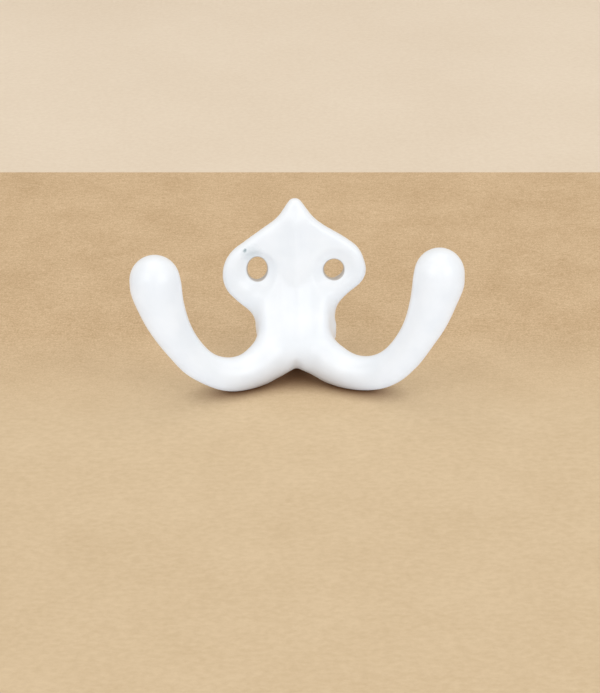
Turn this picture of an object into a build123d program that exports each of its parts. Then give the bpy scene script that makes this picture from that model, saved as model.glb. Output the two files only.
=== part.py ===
"""Double coat hook, cast in one piece and coated white.

A flat wall plate, shaped like a spade, carries two dished screw holes. Below the screws it narrows to a
waist, and in front of the waist stands a neck that leans out from the wall. Two round prongs leave the
foot of the neck, dip, spread outwards and forwards, and rise to rounded ends.

Millimetres. X is to the right, Z is up, and the wall is the plane Y = 0, with the hook on its -Y side.
The origin lies on the wall, midway between the two screw holes. An angle called a lean is the angle
between an edge and the vertical.
"""

import os
from math import asin, atan2, cos, degrees, radians, sin

from build123d import *

# Screws and the dishes that their heads sit in
screw_spacing = 17.5
screw_hole_diameter = 4.5
dish_diameter = 9.6
dish_depth = 1.6
dish_clearance_angle = 45.0

# Wall plate
plate_thickness = 3.2
plate_edge_radius = 1.4
apex_height = 16.1
apex_radius = 1.8
apex_lean = 36.0
flank_lean = 54.0
flank_hollow_radius = 9.0
lobe_radius = 6.9
lobe_beyond_screw = 0.7
lobe_below_screw = 0.7
underside_lean = 46.0
waist_width = 18.2
waist_length = 5.4
waist_hollow_radius = 7.0
hip_radius = 4.0
foot_depth = 24.3
foot_radius = 3.0

# Soft ridge down the middle of the plate
ridge_width = 7.4
ridge_height = 0.6
ridge_top = 14.0
ridge_top_width = 1.6

# Neck
neck_wall_width = 18.2
neck_draft = 10.0
neck_reach = 11.0
neck_top_height = 1.5
neck_bend_depth = 3.3
neck_bend_radius = 14.0
neck_knee_depth = 16.8
neck_knee_radius = 6.0
neck_hip_radius = 5.0
neck_foot_lean = 57.0
neck_foot_depth = 23.2
neck_foot_radius = 6.0
neck_edge_radius = 2.4
neck_front_spread = 41.0

# Prongs. Each follows a curve in its own upright plane, which is turned forward from the wall.
prong_splay = 24.7
prong_wall_gap = 5.2
low_point_run = 14.9
low_point_depth = 21.9
root_end_half_width = 3.0
root_end_half_depth = 1.6
root_half_width = 4.5
root_half_depth = 3.4
root_bend_radius = 7.5
inner_bend_radius = 14.0
inner_bend_angle = 36.0
inner_half_height = 4.9
inner_half_depth = 4.1
low_radius = 3.97
outer_bend_radius = 13.2
outer_bend_angle = 47.0
shank_radius = 3.74
shank_bend_radius = 38.0
shank_bend_angle = 35.4
ball_radius = 5.6
ball_end_length = 5.8
ball_onset = 2.5

os.makedirs("parts", exist_ok=True)


def side(normal_angle, center=(0, 0), radius=0):
    """A straight side that touches a circle: its outward normal's angle, and its distance from the origin."""
    x, z = center
    return normal_angle, x * cos(radians(normal_angle)) + z * sin(radians(normal_angle)) + radius


def corner(first, second):
    """The point where two straight sides would meet."""
    a, b = radians(first[0]), radians(second[0])
    x = (first[1] * sin(b) - second[1] * sin(a)) / sin(b - a)
    z = (second[1] * cos(a) - first[1] * cos(b)) / sin(b - a)
    return x, z


def side_from(point, center, radius):
    """The straight side that runs down from a point on the right and touches the bottom of a circle."""
    across, down = point[0] - center[0], point[1] - center[1]
    turn = asin(radius / (across**2 + down**2) ** 0.5)
    return side(degrees(atan2(down, across) + turn) - 90, center, radius)


def peak(angle, center, radius):
    """The point on the middle line where a side and its mirror image would meet."""
    return corner(side(angle, center, radius), side(180 - angle, center, radius))


def both_halves(top, right, bottom):
    """Rounded outline, the same left and right of the middle. Each corner is a point and its radius."""
    left = [((-point[0], point[1]), radius) for point, radius in reversed(right)]
    corners = [*top, *right, *bottom, *left]
    FilletPolyline(*[point for point, _ in corners], radius=[radius for _, radius in corners], close=True)


# Sides of the wall plate's outline, from the apex down
apex_center = (0, apex_height - apex_radius)
lobe_center = (screw_spacing / 2 + lobe_beyond_screw, -lobe_below_screw)
foot_center = (0, foot_radius - foot_depth)
apex_side = side(apex_lean, apex_center, apex_radius)
flank = side(flank_lean, lobe_center, lobe_radius)
underside = side(-underside_lean, lobe_center, lobe_radius)
waist = side(0, radius=waist_width / 2)
waist_top = corner(underside, waist)
hip = (waist_top[0], waist_top[1] - waist_length)
foot_side = side_from(hip, foot_center, foot_radius)

# Sides of the neck's foot print
neck_half_width = side(0, radius=neck_wall_width / 2)
neck_foot_center = (0, neck_foot_radius - neck_foot_depth)
neck_foot_side = side(-neck_foot_lean, neck_foot_center, neck_foot_radius)

# Wall plate: outline, thickness, rounded front edge
with BuildPart() as plate:
    with BuildSketch(Plane.XZ):
        with BuildLine():
            both_halves(
                [(peak(apex_lean, apex_center, apex_radius), apex_radius)],
                [
                    (corner(apex_side, flank), flank_hollow_radius),
                    (corner(flank, underside), lobe_radius),
                    (waist_top, waist_hollow_radius),
                    (hip, hip_radius),
                ],
                [(peak(foot_side[0], foot_center, foot_radius), foot_radius)],
            )
        make_face()
    extrude(amount=plate_thickness)
    fillet(plate.faces().sort_by(Axis.Y)[0].edges(), plate_edge_radius)

# Ridge: a shallow arch in section, full size level with the screws and dying out towards the apex
with BuildPart() as ridge:
    for height, width in ((ridge_top, ridge_top_width), (0, ridge_width)):
        crest = plate_thickness + ridge_height * width / ridge_width
        with BuildSketch(Plane.XY.offset(height)):
            with BuildLine():
                ThreePointArc((width / 2, -plate_thickness), (0, -crest), (-width / 2, -plate_thickness))
                Polyline(
                    (-width / 2, -plate_thickness),
                    (-width / 2, -plate_thickness / 2),
                    (width / 2, -plate_thickness / 2),
                    (width / 2, -plate_thickness),
                )
            make_face()
    loft()
    extrude(ridge.faces().sort_by(Axis.Z)[0], amount=neck_bend_depth)

# Neck: a shield-shaped foot print on the wall, drawn in as it comes forward, and cut to its side profile
with BuildPart() as neck:
    with BuildSketch(Plane.XZ):
        with BuildLine():
            both_halves(
                [],
                [
                    ((neck_wall_width / 2, neck_top_height), 0),
                    (corner(neck_half_width, neck_foot_side), neck_hip_radius),
                ],
                [(peak(-neck_foot_lean, neck_foot_center, neck_foot_radius), neck_foot_radius)],
            )
        make_face()
    extrude(amount=2 * neck_reach - plate_thickness, taper=neck_draft)
    with BuildSketch(Plane.YZ):
        with BuildLine():
            FilletPolyline(
                (0, neck_top_height),
                (-plate_thickness, neck_top_height),
                (-plate_thickness, -neck_bend_depth),
                (-neck_reach, -neck_knee_depth),
                (-neck_reach, -neck_foot_depth),
                (0, -neck_foot_depth),
                radius=[0, 0, neck_bend_radius, neck_knee_radius, 0, 0],
                close=True,
            )
        make_face()
    extrude(amount=neck_wall_width, both=True, mode=Mode.INTERSECT)
    faces_forward = cos(radians(neck_front_spread))
    front = neck.faces().filter_by(lambda face: -face.normal_at(face.center()).Y > faces_forward)
    rim = neck.edges().filter_by(lambda edge: sum(edge in face.edges() for face in front) == 1)
    fillet(rim.filter_by(lambda edge: edge.center().Z < 0), neck_edge_radius)


def swelling(along):
    """Share of the growth from shank to ball, at a share of the length between them. It ends with no slope.

    A higher ball_onset keeps the shank slim for longer.
    """
    return along**ball_onset * (1 + ball_onset - ball_onset * along)


def midway(first, second):
    return (first + second) / 2


# Prongs: round sections set along the curve, and a rounded end turned about the curve's last direction
prongs = []
for toward in (-1, 1):
    outwards = Vector(toward * cos(radians(prong_splay)), -sin(radians(prong_splay)), 0)
    upright = Plane((0, -prong_wall_gap, 0), x_dir=outwards, z_dir=outwards.cross(Vector(0, 0, 1)))
    backwards = upright.z_dir * -toward
    with BuildPart() as prong:
        with BuildLine(upright):
            low_point = (low_point_run, -low_point_depth)
            inner = JernArc(low_point, (-1, 0), inner_bend_radius, -inner_bend_angle)
            outer = JernArc(low_point, (1, 0), outer_bend_radius, outer_bend_angle)
            shank = JernArc(outer @ 1, outer % 1, shank_bend_radius, shank_bend_angle)
            root = JernArc(inner @ 1, inner % 1, root_bend_radius, inner_bend_angle - 90)
        inner_radii = (midway(inner_half_depth, low_radius), midway(inner_half_height, low_radius))
        outer_radius = midway(low_radius, shank_radius)
        sections = [
            (root @ 1, -(root % 1), root_end_half_depth, root_end_half_width),
            (root @ 0.5, -(root % 0.5), root_half_depth, root_half_width),
            (inner @ 1, -(inner % 1), inner_half_depth, inner_half_height),
            (inner @ 0.5, -(inner % 0.5), *inner_radii),
            (outer @ 0, outer % 0, low_radius, low_radius),
            (outer @ 0.5, outer % 0.5, outer_radius, outer_radius),
        ]
        for along in (0, 0.2, 0.4, 0.6, 0.8, 1):
            radius = shank_radius + (ball_radius - shank_radius) * swelling(along)
            sections.append((shank @ along, shank % along, radius, radius))
        for center, heading, half_depth, half_height in sections:
            with BuildSketch(Plane(center, x_dir=backwards, z_dir=heading)):
                if half_depth == half_height:
                    Circle(half_depth)
                else:
                    Ellipse(half_depth, half_height)
        loft()
        with BuildSketch(Plane(shank @ 1, x_dir=backwards, z_dir=backwards.cross(shank % 1))):
            with BuildLine():
                EllipticalCenterArc((0, 0), ball_radius, ball_end_length, start_angle=0, arc_size=90)
                Polyline((0, ball_end_length), (0, 0), (ball_radius, 0))
            make_face()
        revolve(axis=Axis(shank @ 1, shank % 1))
    prongs.append(prong.part)

# Screw seat, as the space to cut away: a round-bottomed dish, the hole through it, and a widening way in
dish_radius = dish_diameter / 2
dish_floor_radius = (dish_radius**2 + dish_depth**2) / (2 * dish_depth)
dish_steepness = asin(dish_radius / dish_floor_radius)

with BuildPart() as screw_seat:
    with BuildSketch(Plane.XY):
        with BuildLine():
            floor_center = (0, dish_depth - dish_floor_radius)
            floor = CenterArc(floor_center, dish_floor_radius, 90, -degrees(dish_steepness))
            way_in = PolarLine(floor @ 1, neck_reach, -dish_clearance_angle)
            Polyline(way_in @ 1, (0, (way_in @ 1).Y), floor @ 0)
        make_face()
    revolve(axis=Axis.Y)
    with BuildSketch(Plane.XZ):
        Circle(screw_hole_diameter / 2)
    extrude(amount=plate_thickness, both=True)

with BuildPart() as double_hook:
    add(plate.part)
    add(ridge.part)
    add(neck.part)
    with Locations((-screw_spacing / 2, -plate_thickness, 0), (screw_spacing / 2, -plate_thickness, 0)):
        add(screw_seat.part, mode=Mode.SUBTRACT)
    add(prongs)
double_hook.part.label = "double_hook"
export_step(double_hook.part, "parts/double_hook.step")
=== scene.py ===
# %% [markdown]
# # A white enamelled double coat hook
#
# The real hook is one small casting, about 74 mm wide, under a thick coat of white enamel. The packed
# CAD model gives its exact form. This lesson turns that form into a believable casting: webs of metal
# where the prongs leave the neck, halves that are not quite alike, edges that the coat has rounded, and
# soft light that shows it.

# %% Load the CAD frame
from math import cos, radians, sin

import bpy
import numpy as np
from mathutils import Matrix, Vector


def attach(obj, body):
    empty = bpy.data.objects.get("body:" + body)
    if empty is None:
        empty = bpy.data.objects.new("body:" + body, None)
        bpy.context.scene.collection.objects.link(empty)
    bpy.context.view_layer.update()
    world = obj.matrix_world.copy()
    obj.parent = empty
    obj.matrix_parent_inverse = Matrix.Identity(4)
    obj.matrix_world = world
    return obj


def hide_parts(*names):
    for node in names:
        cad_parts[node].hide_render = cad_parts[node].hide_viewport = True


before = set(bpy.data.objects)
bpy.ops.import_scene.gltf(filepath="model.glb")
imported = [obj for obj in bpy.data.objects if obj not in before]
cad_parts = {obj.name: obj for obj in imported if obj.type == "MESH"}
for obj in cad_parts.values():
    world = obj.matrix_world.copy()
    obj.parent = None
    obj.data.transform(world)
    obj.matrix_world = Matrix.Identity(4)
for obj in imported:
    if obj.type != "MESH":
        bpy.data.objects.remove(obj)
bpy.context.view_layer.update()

MM = 0.001
cad_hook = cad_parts["double_hook"]

# %% [markdown]
# ## The camera
#
# The picture looks slightly down on the hook with a long lens. The camera is set by where it stands,
# how far up it looks from, and the pixel at which the hook's origin appears. An aim off the origin is
# better than a lens shift, because it stays right when the camera is moved to see the hook from another
# side.

# %% Where the camera stands and how it is turned
picture_width, picture_height = 600, 693
origin_pixel = (296.8, 266.3)
camera_distance = 480 * MM
camera_elevation = radians(17)
camera_yaw = radians(-0.45)
camera_roll = radians(-0.4)
screw_spacing, screw_spacing_pixels = 17.5, 76.4
focal_pixels = camera_distance / MM * screw_spacing_pixels / screw_spacing

stand = Vector((
    sin(camera_yaw) * cos(camera_elevation),
    -cos(camera_yaw) * cos(camera_elevation),
    sin(camera_elevation),
)) * camera_distance
to_origin = -stand.normalized()
right = to_origin.cross(Vector((0, 0, 1))).normalized()
up = right.cross(to_origin)
off_right = (origin_pixel[0] - picture_width / 2) / focal_pixels
off_up = (picture_height / 2 - origin_pixel[1]) / focal_pixels
ahead = (to_origin - right * off_right - up * off_up).normalized()
level_right = ahead.cross(Vector((0, 0, 1))).normalized()
level_up = level_right.cross(ahead)
view_right = level_right * cos(camera_roll) + level_up * sin(camera_roll)
view_up = level_up * cos(camera_roll) - level_right * sin(camera_roll)
print("camera stands at", [round(v / MM) for v in stand], "mm")

# %% The camera itself
bpy.ops.object.select_all(action="DESELECT")
bpy.ops.object.camera_add(location=stand)
camera = bpy.context.object
camera.name = "camera"
camera.rotation_euler = Matrix((view_right, view_up, -ahead)).transposed().to_euler()
camera.data.sensor_fit = "VERTICAL"
camera.data.sensor_height = 36
camera.data.lens = focal_pixels / picture_height * camera.data.sensor_height
camera.data.clip_start = 10 * MM
bpy.context.scene.camera = camera
print("lens", round(camera.data.lens, 1), "mm")

# %% [markdown]
# ## What it stands on
#
# Set down on a table, the hook rests on the undersides of its two prongs and on the foot of its plate.
# The prongs reach a little lower than the plate does, so in the hook's own frame the table slopes up
# towards the back. The table, a sheet of sand-coloured card on it and the lamps are all placed in that
# sloped frame, whose origin is the point midway between the prongs' lowest points.

# %% The three points that it rests on
beside_middle, before_wall = 1 * MM, -1 * MM
cad_corners = np.array([corner.co for corner in cad_hook.data.vertices])
prong_point = Vector(cad_corners[cad_corners[:, 2].argmin()])
foot_corners = cad_corners[(abs(cad_corners[:, 0]) < beside_middle) & (cad_corners[:, 1] > before_wall)]
foot_point = Vector(foot_corners[foot_corners[:, 2].argmin()])

rest_origin = Vector((0, prong_point.y, prong_point.z))
rest_back = Vector((0, foot_point.y - prong_point.y, foot_point.z - prong_point.z)).normalized()
rest_up = Vector((1, 0, 0)).cross(rest_back)
rest_turn = Matrix((Vector((1, 0, 0)), rest_back, rest_up)).transposed().to_4x4()
rest_frame = Matrix.Translation(rest_origin) @ rest_turn
print("table slope", round(np.degrees(np.arcsin(rest_back.z)), 1), "degrees")


# %% [markdown]
# The card's far edge crosses the picture level. Its two ends are found by sending a ray through a pixel
# on each side of the picture and taking the point where it meets the table.

# %% Where the card's far edge lies
card_edge_row = 172.3


def on_table(column, row):
    """The place on the table, in its own frame, that shows at a pixel."""
    to_table = rest_frame.inverted()
    start = to_table @ stand
    ray = to_table.to_3x3() @ (
        ahead * focal_pixels
        + view_right * (column - picture_width / 2)
        + view_up * (picture_height / 2 - row)
    )
    return start - ray * (start.z / ray.z)


edge_left = on_table(0, card_edge_row)
edge_right = on_table(picture_width, card_edge_row)
edge_along = (edge_right - edge_left).normalized()
edge_middle = (edge_left + edge_right) / 2
edge_out = Vector((0, 0, 1)).cross(edge_along)
print("card's far edge", round(edge_middle.y / MM), "mm behind the prongs")

# %% Table and card
table_size = 8.0
card_thickness = 0.3 * MM
card_size = Vector((1.6, 1.0, card_thickness))

bpy.ops.object.select_all(action="DESELECT")
bpy.ops.mesh.primitive_plane_add(size=table_size)
table = bpy.context.object
table.name = "table"
table.data.transform(rest_frame @ Matrix.Translation((0, 0, -card_thickness)))

bpy.ops.object.select_all(action="DESELECT")
bpy.ops.mesh.primitive_cube_add(size=1)
card = bpy.context.object
card.name = "card"
card_turn = Matrix((edge_along, edge_out, Vector((0, 0, 1)))).transposed().to_4x4()
card_middle = edge_middle - edge_out * card_size.y / 2 - Vector((0, 0, card_thickness / 2))
card_place = rest_frame @ Matrix.Translation(card_middle) @ card_turn
card.data.transform(card_place @ Matrix.Diagonal((*card_size, 1)))
print("card", [round(v / MM, 1) for v in card_size], "mm on a table of", table_size, "m")


# %% [markdown]
# ## Helpers for materials
#
# A material is easier to read as a formula than as a list of links. One function adds any node: its
# type, its settings, and what goes into its sockets, by their names or numbers. A small class on top of
# it lets ordinary arithmetic build Math nodes, and a second one holds a material with its main shader.

# %% One function for every node
def add_node(tree, kind, settings=None, sockets=None):
    """Adds a node to a tree, sets it, and fills its sockets with plain values or with links."""
    made = tree.nodes.new(kind)
    for name, value in (settings or {}).items():
        setattr(made, name, value)
    for key, value in (sockets or {}).items():
        fill(tree, made.inputs[key], value)
    return made


def fill(tree, socket, value):
    """Puts a plain value into a socket, or links an output to it."""
    if isinstance(value, Maths):
        value = value.value
    if isinstance(value, bpy.types.NodeSocket):
        tree.links.new(value, socket)
    else:
        socket.default_value = value


# %% Shader maths
class Maths:
    """A number in a node tree. Ordinary arithmetic on it adds Math nodes."""

    def __init__(self, tree, value):
        self.tree = tree
        self.value = value

    def join(self, operation, first, second, clamp=False):
        settings = {"operation": operation, "use_clamp": clamp}
        made = add_node(self.tree, "ShaderNodeMath", settings, {0: first, 1: second})
        return Maths(self.tree, made.outputs[0])

    def __add__(self, other):
        return self.join("ADD", self, other)

    def __sub__(self, other):
        return self.join("SUBTRACT", self, other)

    def __rsub__(self, other):
        return self.join("SUBTRACT", other, self)

    def __mul__(self, other):
        return self.join("MULTIPLY", self, other)

    def __truediv__(self, other):
        return self.join("DIVIDE", self, other)

    __radd__ = __add__
    __rmul__ = __mul__

    def clamped(self):
        """The same number, held between 0 and 1."""
        return self.join("ADD", self, 0.0, clamp=True)

    def step(self, start, end):
        """0 below start, 1 above end, and even in between."""
        return ((self - start) / (end - start)).clamped()


# %% A finish, with its own patterns
class Finish:
    """A material with one main shader. Its patterns read Object coordinates, so they lie still."""

    def __init__(self, name, uniform):
        self.material = bpy.data.materials.new(name)
        self.material.use_nodes = True
        self.tree = self.material.node_tree
        self.shader = self.tree.nodes["Principled BSDF"]
        for socket, value in uniform.items():
            self.shader.inputs[socket].default_value = value
        self.place = self.node("ShaderNodeTexCoord").outputs["Object"]

    def node(self, kind, settings=None, sockets=None):
        return add_node(self.tree, kind, settings, sockets)

    def noise(self, size, detail=2.0, roughness=0.5, stretch=(1, 1, 1)):
        """Smooth random numbers around 0.5, in lumps of about that size, longer along a stretched axis."""
        scale = tuple(1 / share for share in stretch)
        mapping = self.node("ShaderNodeMapping", None, {"Vector": self.place, "Scale": scale})
        made = self.node("ShaderNodeTexNoise", None, {
            "Vector": mapping.outputs["Vector"],
            "Scale": 1 / size,
            "Detail": detail,
            "Roughness": roughness,
        })
        return Maths(self.tree, made.outputs["Fac"])

    def distance(self, spot):
        """How far the surface is from a spot."""
        made = self.node("ShaderNodeVectorMath", {"operation": "DISTANCE"}, {0: self.place, 1: spot})
        return Maths(self.tree, made.outputs["Value"])

    def axis(self, name):
        """One of the surface's coordinates."""
        made = self.node("ShaderNodeSeparateXYZ", None, {"Vector": self.place})
        return Maths(self.tree, made.outputs[name])

    def blend(self, amount, first, second):
        """A colour between two, by an amount from 0 to 1."""
        made = self.node("ShaderNodeMix", {"data_type": "RGBA"}, {"Factor": amount})
        colours = [socket for socket in made.inputs if socket.type == "RGBA"]
        for socket, value in zip(colours, (first, second)):
            fill(self.tree, socket, (*value, 1) if isinstance(value, tuple) else value)
        return [socket for socket in made.outputs if socket.type == "RGBA"][0]

    def feed(self, socket, value):
        """Links a varying value to a socket of the main shader."""
        fill(self.tree, self.shader.inputs[socket], value)


# %% Sums of noises, and colours read off a screen
def mixed(*parts):
    """Adds noises around their middle value, each with its strength, and holds the sum between 0 and 1."""
    total = 0.5
    for noise, strength in parts:
        total = (noise - 0.5) * strength + total
    return total.clamped()


def from_screen(red, green, blue):
    """Linear colour from a colour read off a screen, 0 to 255, by a screen's usual curve."""
    return tuple(((v / 255 + 0.055) / 1.055) ** 2.4 for v in (red, green, blue))


print("half-way grey on a screen is", round(from_screen(128, 128, 128)[0], 2), "in linear light")


# %% [markdown]
# ## Card and table
#
# The camera sees the card's sand colour everywhere. What the card throws back is sand-coloured only
# close under the hook. Further out it acts as the white reflector boards that a photographer lays round
# a white piece, which keep its sides clean. The table behind it is painted in a paler tone with faint
# clouds.

# %% What is seen, and what is thrown back
board_white = from_screen(250, 251, 254)
near_sand = from_screen(145, 120, 92)
boards_start, boards_end = 8 * MM, 20 * MM


def looked_at(tree):
    """1 for what the camera sees, also in gloss or through glass, and 0 for light thrown on other things."""
    rays = add_node(tree, "ShaderNodeLightPath").outputs
    camera_ray, glossy_ray, transmission_ray = (
        Maths(tree, rays[name]) for name in ("Is Camera Ray", "Is Glossy Ray", "Is Transmission Ray"))
    return (camera_ray + glossy_ray + transmission_ray).clamped()


def seen_only(finish, colour):
    """The colour where it is looked at, and another for the light that the surface throws back."""
    away = finish.distance(rest_origin).step(boards_start, boards_end)
    thrown_back = finish.blend(away, near_sand, board_white)
    return finish.blend(looked_at(finish.tree), thrown_back, colour)


print("boards start", boards_start / MM, "mm from the hook's middle and are full at", boards_end / MM, "mm")

# %% Table paint
table_paint = Finish("table_paint", {"Roughness": 0.8})
paint_clouds = table_paint.noise(60 * MM, detail=3)
paint_specks = table_paint.noise(1.2 * MM, detail=3)
paint_grain = mixed((paint_clouds, 0.5), (paint_specks, 0.5))
paint_dark, paint_pale = from_screen(220, 199, 172), from_screen(245, 229, 206)
paint_colour = table_paint.blend(paint_grain, paint_dark, paint_pale)
table_paint.feed("Base Color", seen_only(table_paint, paint_colour))
table.data.materials.append(table_paint.material)
print("table paint:", len(table_paint.tree.nodes), "nodes")

# %% [markdown]
# The card is uncoated and slightly fibrous. Behind the hook its grain is crisp: fine specks and longer
# fibres. In front, where a lens would be a little out of focus, it is softer. It is also paler there:
# painted light, for the brighter light that falls on the card's front. Broad clouds run through both.

# %% Card grain and colour
near_row, far_row = -25 * MM, 20 * MM
card_stock = Finish("card_stock", {"Roughness": 0.85})
specks = card_stock.noise(0.4 * MM, detail=4, roughness=0.75)
fibres = card_stock.noise(0.6 * MM, detail=2, stretch=(3, 1, 1))
flecks = card_stock.noise(1.1 * MM, detail=2, stretch=(1.5, 1, 1))
clouds = card_stock.noise(14 * MM, detail=3)
crisp_grain = mixed((specks, 2.2), (fibres, 0.6), (clouds, 0.5))
soft_grain = mixed((flecks, 0.9), (specks, 0.5), (clouds, 0.5))
far_card = card_stock.blend(crisp_grain, from_screen(182, 149, 106), from_screen(231, 201, 161))
# Paler than the far card: painted light for the brighter light in front.
near_card_painted_paler = card_stock.blend(soft_grain, from_screen(207, 180, 141), from_screen(228, 203, 166))
sand = card_stock.blend(card_stock.axis("Y").step(near_row, far_row), near_card_painted_paler, far_card)
print("card stock:", len(card_stock.tree.nodes), "nodes")

# %% [markdown]
# Where the hook touches the card or hangs close over it, the card is darker than this soft light makes
# it. Less light from the surround would do that too, but it would grey the hook's underside. So a contact
# shadow is painted into the card's colour: it turns brown where it is sheltered. An Ambient Occlusion
# node measures the shelter from the shapes alone, so the painted shade stays in its place from every side.

# %% Shade at the contact, and the card's texture
contact_reach = 8 * MM
hidden_share, open_share = 0.05, 0.75
shelter = card_stock.node("ShaderNodeAmbientOcclusion", {"samples": 16}, {"Distance": contact_reach})
open_sky = Maths(card_stock.tree, shelter.outputs["AO"]).step(hidden_share, open_share)
# Painted contact shadow: the card's colour turns brown where the hook shelters it.
painted_contact_shadow = from_screen(124, 80, 44)
shaded_sand = card_stock.blend(open_sky, painted_contact_shadow, sand)
card_stock.feed("Base Color", seen_only(card_stock, shaded_sand))
card_bump = card_stock.node("ShaderNodeBump", None, {
    "Height": specks,
    "Distance": 0.05 * MM,
    "Strength": 0.5,
})
card_stock.feed("Normal", card_bump.outputs["Normal"])
card.data.materials.append(card_stock.material)
print("card stock finished with", len(card_stock.tree.nodes), "nodes")

# %% [markdown]
# ## Light
#
# Two large soft boxes stand in front, one on each side, and leave a pale highlight on both shoulders of
# each prong. The right one is a little stronger, so that the light isn't perfectly even. A smaller one
# hangs almost straight above and gives the hook a soft shadow on the card. Each place is in the sloped
# frame.

# %% Soft boxes
def soft_box(name, place, size, power):
    """A large square lamp that faces the hook. Place and size are in metres, power in watts."""
    bpy.ops.object.select_all(action="DESELECT")
    bpy.ops.object.light_add(type="AREA", location=rest_frame @ Vector(place))
    lamp = bpy.context.object
    lamp.name = name
    lamp.data.shape = "SQUARE"
    lamp.data.size = size
    lamp.data.energy = power
    lamp.rotation_euler = (-lamp.location).to_track_quat("-Z", "Y").to_euler()
    print(name, round(lamp.location.length, 2), "m away,", power, "W")


soft_box("soft_box_left", (-1.5, -1.6, 1.3), size=1.6, power=10.4)
soft_box("soft_box_right", (1.5, -1.6, 1.3), size=1.6, power=13.2)
soft_box("soft_box_above", (0, 0.1, 1.2), size=1.3, power=4.2)

# %% [markdown]
# An even white surround lights the hook from all sides. Where it is looked at, behind the table, it has
# the table's own pale colour instead, so that no horizon shows.

# %% Surround
surround_strength = 0.6
world = bpy.data.worlds.new("surround")
world.use_nodes = True
bpy.context.scene.world = world
studio = world.node_tree
white_light = studio.nodes["Background"]
white_light.inputs["Color"].default_value = (1, 1, 1, 1)
white_light.inputs["Strength"].default_value = surround_strength
pale_table = from_screen(227, 209, 185)
seen_behind = add_node(studio, "ShaderNodeBackground", None, {"Color": (*pale_table, 1)})
pick = add_node(studio, "ShaderNodeMixShader", None, {
    "Fac": looked_at(studio),
    1: white_light.outputs["Background"],
    2: seen_behind.outputs["Background"],
})
fill(studio, studio.nodes["World Output"].inputs["Surface"], pick.outputs["Shader"])
bpy.context.scene.view_settings.view_transform = "Standard"
print("surround:", len(studio.nodes), "nodes")

# %% [markdown]
# ## The casting
#
# The piece starts as a copy of the CAD node, whose loose triangles are merged into one skin. It is then
# remade with small even faces, because the webs, the unevenness and the rounded edges all need vertices
# to move.

# %% Copy and merge
casting = bpy.data.objects.new("casting", cad_hook.data.copy())
bpy.context.collection.objects.link(casting)
bpy.ops.object.select_all(action="DESELECT")
casting.select_set(True)
bpy.context.view_layer.objects.active = casting
bpy.ops.object.mode_set(mode="EDIT")
bpy.ops.mesh.select_all(action="SELECT")
bpy.ops.mesh.remove_doubles(threshold=0.001 * MM)
bpy.ops.object.mode_set(mode="OBJECT")
print("merged to", len(casting.data.vertices), "vertices")

# %% Modifiers, applied at once
voxel_size = 0.3 * MM


def use(piece, kind, **settings):
    """Puts a modifier on a piece, sets it and applies it."""
    bpy.context.view_layer.objects.active = piece
    modifier = piece.modifiers.new(kind.lower(), kind)
    for name, value in settings.items():
        setattr(modifier, name, value)
    bpy.ops.object.modifier_apply(modifier=modifier.name)


def remake(piece):
    """Covers a piece with even small faces and joins what overlaps."""
    use(piece, "REMESH", mode="VOXEL", voxel_size=voxel_size)


remake(casting)
print("remade with", len(casting.data.polygons), "faces")


# %% [markdown]
# Forms as soft as these are pushed with a soft brush when they are sculpted by hand. The tools below do
# the same in numbers, in millimetres: a hill of influence round a place, and a push that every vertex
# shares in.

# %% Tools that move vertices
def corners():
    """The casting's vertices as rows of x, y and z."""
    flat = np.empty(len(casting.data.vertices) * 3)
    casting.data.vertices.foreach_get("co", flat)
    return flat.reshape(-1, 3)


def place_corners(rows):
    """Puts the casting's vertices where the rows say."""
    casting.data.vertices.foreach_set("co", rows.ravel())
    casting.data.update()


def near(centre, reach):
    """1 at a centre, 0 beyond its reach along each axis, and a smooth hill between."""
    apart = (((corners() - np.array(centre) * MM) / (np.array(reach) * MM)) ** 2).sum(axis=1)
    return np.clip(1 - apart, 0, 1) ** 2


def move(shares, shift):
    """Moves each vertex by its share of a shift in millimetres."""
    place_corners(corners() + shares[:, None] * np.array(shift) * MM)


def fade(value, start, end):
    """0 where a length is at its start in millimetres, 1 at its end, and a soft slope between."""
    along = np.clip((value / MM - start) / (end - start), 0, 1)
    return along**2 * (3 - 2 * along)


print(len(corners()), "vertices to move")


# %% [markdown]
# ## Webs
#
# A casting has no sharp inner corners: the pattern maker fills them with wax, and the metal keeps that
# web. To lay such webs, a copy is swollen until its corners close, remade, and drawn back by as much.
# Open faces end where they were, while a corner keeps a round fillet of that radius. Only the joint is
# then wrapped to the copy.

# %% Shares kept in a vertex group
share_steps = 100


def mark(name, shares):
    """Keeps a share for each vertex in a vertex group, rounded to a number of even steps."""
    group = casting.vertex_groups.new(name=name)
    steps = np.round(shares * share_steps).astype(int)
    for step in range(1, share_steps + 1):
        group.add(np.flatnonzero(steps == step).tolist(), step / share_steps, "REPLACE")
    print(name, "takes in", np.count_nonzero(steps), "vertices")


# %% A swollen and drawn-back copy
web_radius = 4.0
evening_rounds = 4

webbed = bpy.data.objects.new("webbed", casting.data.copy())
bpy.context.collection.objects.link(webbed)
for swell in (web_radius, -web_radius):
    use(webbed, "DISPLACE", strength=swell * MM, mid_level=0)
    remake(webbed)
    use(webbed, "SMOOTH", factor=0.5, iterations=evening_rounds)
print("webs of", web_radius, "mm")

# %% Webs where the prongs leave the neck
web_side_end, web_side_full = 19, 14
web_top_end, web_top_full = -1, -6
hole_across = 8.75
hole_free, hole_clear = 4, 5.5

across, _, height = corners().T
from_hole = np.hypot(abs(across) - hole_across * MM, height)
web_sides = fade(abs(across), web_side_end, web_side_full)
web_height = fade(height, web_top_end, web_top_full)
mark("web", web_sides * web_height * fade(from_hole, hole_free, hole_clear))
use(casting, "SHRINKWRAP", target=webbed, wrap_method="NEAREST_SURFACEPOINT", vertex_group="web")
casting.vertex_groups.clear()
bpy.data.objects.remove(webbed)
remake(casting)
print("casting:", len(casting.data.polygons), "faces with its webs")
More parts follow.
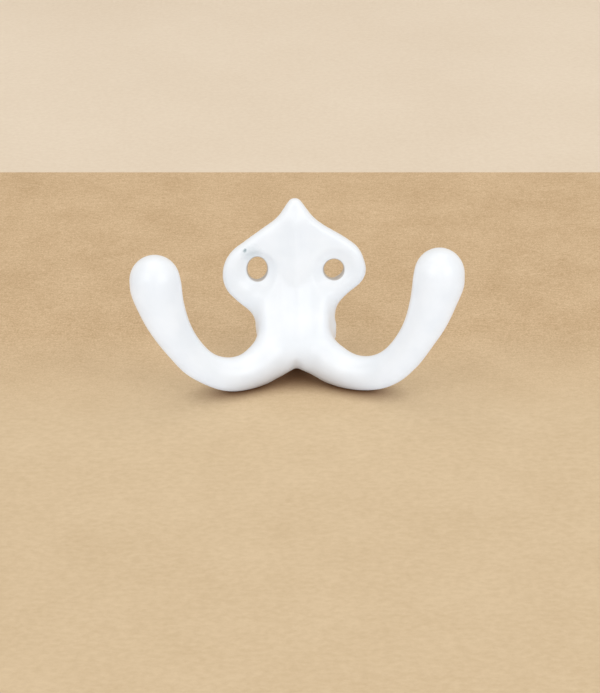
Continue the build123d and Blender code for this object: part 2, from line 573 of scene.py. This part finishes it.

# %% [markdown]
# ## Uneven halves
#
# No two halves of a cast hook are quite alike. In this one the right lobe sits higher than the left,
# the right prong ends higher, and the left prong is slimmer under its bend. The two prongs meet below
# in a sharp V with a small groove at its tip. These are pushes with the brush, made one after another,
# so each is written down with what it does.

# %% Moves for the plate and its waist
def make_moves(moves):
    """Makes moves in their order. Each has a centre, a reach along the axes and a shift, in millimetres."""
    for what, (centre, reach, shift) in moves.items():
        move(near(centre, reach), shift)
        print(what, shift)


make_moves({
    "whole plate a little to the left": ((0, -1.6, 3), (24, 9, 18), (-0.3, 0, 0)),
    "point up and left": ((0, -1.6, 17), (6, 6, 8), (-0.2, 0, 0.3)),
    "waist and neck to the left": ((0, -6, -11), (14, 12, 11), (-0.8, 0, 0)),
    "left prong's root out and up": ((-10, -6, -14.5), (5, 9, 6), (-0.4, 0, 0.3)),
    "right lobe's underside in and up": ((12.5, -1.6, -6.5), (8, 8, 8), (-1.2, 0, 0.9)),
    "right lobe's shoulder out and up": ((12, -1.6, 6.5), (8, 8, 6), (0.4, 0, 0.3)),
    "left lobe's underside out and down": ((-12.5, -1.6, -6.5), (8, 8, 8), (-0.7, 0, -0.6)),
})

# %% Moves for the prongs
make_moves({
    "right prong's end up": ((31, -20, 4), (14, 14, 16), (0, 0, 1.0)),
    "left prong's end down": ((-31, -20, 4), (14, 14, 16), (0.1, 0, -0.3)),
    "left prong slimmer under its bend": ((-22, -14, -25), (9, 9, 7), (0.6, 0, 0.3)),
    "right prong's low part outwards": ((19, -13, -23), (10, 9, 7), (0.8, 0, 0)),
    "right prong fuller outside its bend": ((27, -16, -19), (9, 9, 9), (0.4, 0, -0.2)),
})

# %% Moves for the V, the waist and the lobes
make_moves({
    "left side of the V down": ((-2.4, -11, -23), (2.6, 9, 4), (0, 0, -0.5)),
    "right side of the V down": ((2.0, -11, -23), (2.6, 9, 4), (0, 0, -0.5)),
    "groove at the V's tip": ((-0.2, -12.5, -21.5), (1.9, 5, 3.5), (0, 0.9, 0.5)),
    "waist slimmer on the right": ((9.5, -6, -10.5), (3.5, 9, 7), (-0.6, 0, 0)),
    "left lobe fuller": ((-15.5, -1.6, -2), (5, 8, 6), (-0.4, 0, 0)),
    "right lobe slimmer": ((15.5, -1.6, 1), (5, 8, 6), (-0.35, 0, 0)),
})

# %% [markdown]
# ## Ridge
#
# A soft ridge runs down the middle from below the point to the foot of the neck. It could be a piece of
# its own, but a raised strip of the same skin has no seam. Its section is a low roof, and it dies out
# at both ends.

# %% Ridge down the middle
ridge_half_width, ridge_height = 3.4, 0.8
ridge_top, full_below = 15, 11
ridge_foot, full_above = -17, -9
front_depth, front_foot = -2.5, -20

across, depth, height = corners().T
roof = np.clip(1 - abs(across) / (ridge_half_width * MM), 0, 1)
front = (depth < front_depth * MM) * (height > front_foot * MM)
ends = fade(height, ridge_top, full_below) * fade(height, ridge_foot, full_above)
raised = roof * front * ends
move(raised, (0, -ridge_height, 0))
print("ridge", ridge_height, "mm high over", np.count_nonzero(raised), "vertices")

# %% [markdown]
# ## Screw holes
#
# A cored hole comes out of the mould a little oval. Both holes are drawn out upright about their
# middles, the left one more, and set a little off their places. The dishes' rims stay where they are.

# %% Screw holes, a little oval
hole_radius, dish_radius = 2.3, 4.8


def redraw_hole(across_wall, taller, shift):
    """Stretches a hole upright about its middle and shifts it. The change dies out at the dish's rim."""
    moved = corners()
    height = moved[:, 2].copy()
    share = fade(np.hypot(moved[:, 0] - across_wall * MM, height), dish_radius, hole_radius)
    moved[:, 2] += (height * taller + shift[1] * MM) * share
    moved[:, 0] += shift[0] * MM * share
    place_corners(moved)
    print("hole at", across_wall, "mm made taller by", taller)


redraw_hole(-9.0, taller=0.2, shift=(0.1, 0.1))
redraw_hole(8.5, taller=0.08, shift=(0.05, -0.35))

# %% [markdown]
# ## Back and edges
#
# The back is ground flat so that the plate sits on a wall. Then the coat goes on: it is thick enough to
# round every edge. Smoothing the whole skin does that, and the sides of the neck get more of it, where
# the coat gathers.

# %% Back ground flat for the wall
ground = corners()
ground[:, 1] = np.minimum(ground[:, 1], 0)
place_corners(ground)
print(np.count_nonzero(ground[:, 1] == 0), "vertices on the wall")

# %% Let the coat round the corners
coat_rounds, neck_rounds = 14, 120
neck_left, neck_right = (-9, -7, -10.5), (8, -7, -10.5)
neck_reach = (4.5, 8, 9)
neck_strength = 1.5

use(casting, "SMOOTH", factor=0.5, iterations=coat_rounds)
neck_sides = near(neck_left, neck_reach) + near(neck_right, neck_reach)
mark("neck", np.clip(neck_sides * neck_strength, 0, 1))
use(casting, "SMOOTH", factor=0.5, iterations=neck_rounds, vertex_group="neck")
casting.vertex_groups.clear()
bpy.ops.object.shade_smooth()
print("coat rounded in", coat_rounds, "rounds, and", neck_rounds, "more at the neck")

# %% [markdown]
# ## White enamel
#
# Enamel is a thick glossy white coat. It is very slightly cool in colour, and where it lies thicker it
# is a little whiter. A shader with a coat layer gives it the soft double gloss of glass over paint.

# %% White enamel
enamel = Finish("white_enamel", {"IOR": 1.5, "Coat IOR": 1.5, "Coat Roughness": 0.22})
thin_below, thick_above = 0.35, 0.65
thin_white, thick_white = from_screen(243, 247, 251), from_screen(249, 252, 255)
thick = enamel.noise(7 * MM, detail=2).step(thin_below, thick_above)
coat_colour = enamel.blend(thick, thin_white, thick_white)
print("white enamel:", len(enamel.tree.nodes), "nodes")

# %% [markdown]
# The coat has a small fault beside the left screw hole: a pinhole where a bubble burst and the grey
# metal shows. Beside it a bluish patch of painted shade lies along the upper rim of the dish. Each is a
# distance from a spot with some noise added, which makes its edge ragged, as a real fault's edge is.

# %% Painted shade on the dish's upper rim
# A bluish painted shade where the upper rim of the left dish falls in shade.
patch_middle = (-10.2 * MM, -2.7 * MM, 4.0 * MM)
patch_full, patch_end = 0.6 * MM, 2.8 * MM
patch_strength = 0.6
edge_wander = 0.8 * MM
painted_dish_shade = from_screen(214, 224, 229)
ragged = (enamel.noise(0.6 * MM, detail=2) - 0.5) * edge_wander
out_of_patch = (enamel.distance(patch_middle) + ragged * 2).step(patch_full, patch_end)
with_dish_shade = enamel.blend((1 - out_of_patch) * patch_strength, coat_colour, painted_dish_shade)
print("thin patch", patch_end / MM, "mm out from its middle")

# %% Pinhole
pinhole = (-11.6 * MM, -3.1 * MM, 4.8 * MM)
pinhole_full, pinhole_end = 0.15 * MM, 0.55 * MM
bare_metal = from_screen(158, 174, 179)
in_pinhole = 1 - (enamel.distance(pinhole) + ragged).step(pinhole_full, pinhole_end)
pinhole_and_shade = enamel.blend(in_pinhole, with_dish_shade, bare_metal)
print("pinhole", pinhole_end / MM, "mm out from its middle")

# %% [markdown]
# Each screw hole's wall lies in shade, so a fine grey rim of painted shade is laid in each hole and just
# round its edge. The mask is a stretched circle about the hole's middle. Squares are compared, which
# saves taking a root.

# %% Painted shade in the screw holes
# Grey painted shade for the shaded walls of the screw holes.
painted_hole_shade = from_screen(172, 158, 142)
hole_shade_strength = 0.8
grey_until, white_from = 1.1, 1.3
left_hole, right_hole = (-8.9, 0, 2.25, 2.75), (8.55, -0.25, 2.25, 2.35)


def in_hole(across_wall, up_wall, half_width, half_height):
    """1 inside a screw hole, and 0 a little way outside its edge. Lengths are in millimetres."""
    across = (enamel.axis("X") - across_wall * MM) / (half_width * MM)
    upward = (enamel.axis("Z") - up_wall * MM) / (half_height * MM)
    return 1 - (across * across + upward * upward).step(grey_until, white_from)


hole_shade_mask = (in_hole(*left_hole) + in_hole(*right_hole)) * hole_shade_strength
enamel.feed("Base Color", enamel.blend(hole_shade_mask, pinhole_and_shade, painted_hole_shade))
print("grey rims about", left_hole[:2], "and", right_hole[:2], "mm")

# %% [markdown]
# Wet enamel draws itself smooth but not flat. Long low waves show only in the highlights, a very fine
# texture like orange peel takes the edge off the gloss, and the pinhole is a small pit. The gloss
# varies a little too.

# %% Gloss of the coat
glossiest, gloss_change, pit_dullness = 0.28, 0.12, 0.4
clear_coat = 0.3
enamel.feed("Roughness", glossiest + enamel.noise(5 * MM) * gloss_change + in_pinhole * pit_dullness)
enamel.feed("Coat Weight", clear_coat - in_pinhole * clear_coat)
print("roughness from", glossiest, "to", glossiest + gloss_change)

# %% Waves in the coat
wave_height, peel_height, pit_depth = 0.8, 0.08, 1.5
waves = enamel.noise(3.5 * MM, detail=1) * wave_height
peel = enamel.noise(0.7 * MM, detail=1) * peel_height
coat_bump = enamel.node("ShaderNodeBump", None, {
    "Height": waves + peel - in_pinhole * pit_depth,
    "Distance": 0.03 * MM,
    "Strength": 0.7,
})
enamel.feed("Normal", coat_bump.outputs["Normal"])
casting.data.materials.clear()
casting.data.materials.append(enamel.material)
print("white enamel finished with", len(enamel.tree.nodes), "nodes")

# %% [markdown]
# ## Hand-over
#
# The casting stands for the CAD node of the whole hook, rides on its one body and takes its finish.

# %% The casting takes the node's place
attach(casting, "root")
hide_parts("double_hook")
print("casting:", sum(len(face.vertices) - 2 for face in casting.data.polygons), "triangles")
